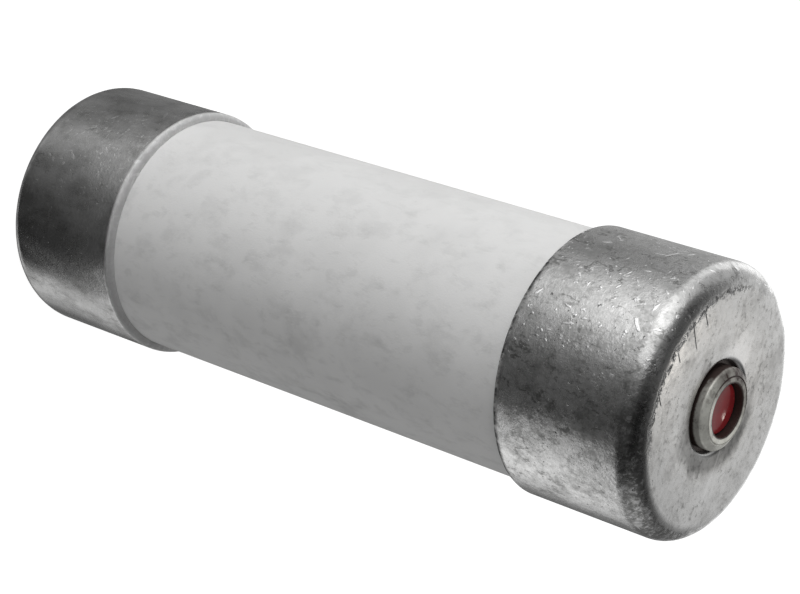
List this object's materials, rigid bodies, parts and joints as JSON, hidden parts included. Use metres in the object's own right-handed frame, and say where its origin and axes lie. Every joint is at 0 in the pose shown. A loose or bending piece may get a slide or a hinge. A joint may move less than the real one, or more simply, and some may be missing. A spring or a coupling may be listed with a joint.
{
  "type": "indicator cartridge fuse",
  "caption": "Cylindrical cartridge fuse: white ceramic tube with a drawn metal cap pressed on each end, and a sleeve with a recessed red blown-fuse button in the middle of one cap.",
  "frame": {"origin": "centre of the plain end cap's flat face, on which the fuse stands on end", "axes": "+Z along the tube's axis, from the plain end to the indicator end; +X towards the copper strip's side; the outside is round, so X and Y are otherwise free"},
  "size_m": [0.0104, 0.0104, 0.0319],
  "materials": {
    "ceramic": "matt, unglazed, off-white",
    "cap_metal": "satin plated, with handling marks",
    "contact_metal": "satin, tinned",
    "fibre": "matt fibre",
    "sand": "fine matt grains",
    "copper": "copper strip, satin",
    "tin": "satin solder",
    "sleeve_metal": "turned, satin",
    "spring_steel": "drawn wire",
    "plunger_metal": "turned, satin",
    "red_plastic": "glossy red",
    "resistance_wire": "drawn wire"
  },
  "bodies": {
    "fuse_body": {"ceramic_tube": "ceramic", "plain_end_cap": "cap_metal", "indicator_end_cap": "cap_metal", "plain_contact_disc": "contact_metal", "indicator_contact_ring": "contact_metal", "plain_seal_washer": "fibre", "indicator_seal_washer": "fibre", "quartz_sand": "sand", "fuse_element": "copper", "element_tin_spot": "tin", "plain_solder_dab": "tin", "indicator_solder_dab": "tin", "indicator_sleeve": "sleeve_metal", "sleeve_base": "sleeve_metal", "plunger_spring": "spring_steel", "restraining_wire": "resistance_wire", "wire_anchor_solder": "tin", "wire_release_solder": "tin"},
    "indicator": {"indicator_plunger": "plunger_metal", "indicator_button": "red_plastic"}
  },
  "joints": [
    {"name": "indicator_release", "type": "slide", "parent": "fuse_body", "child": "indicator", "axis": [0, 0, 1], "range_m": [0, 0.0018], "deforming": ["plunger_spring"]}
  ]
}
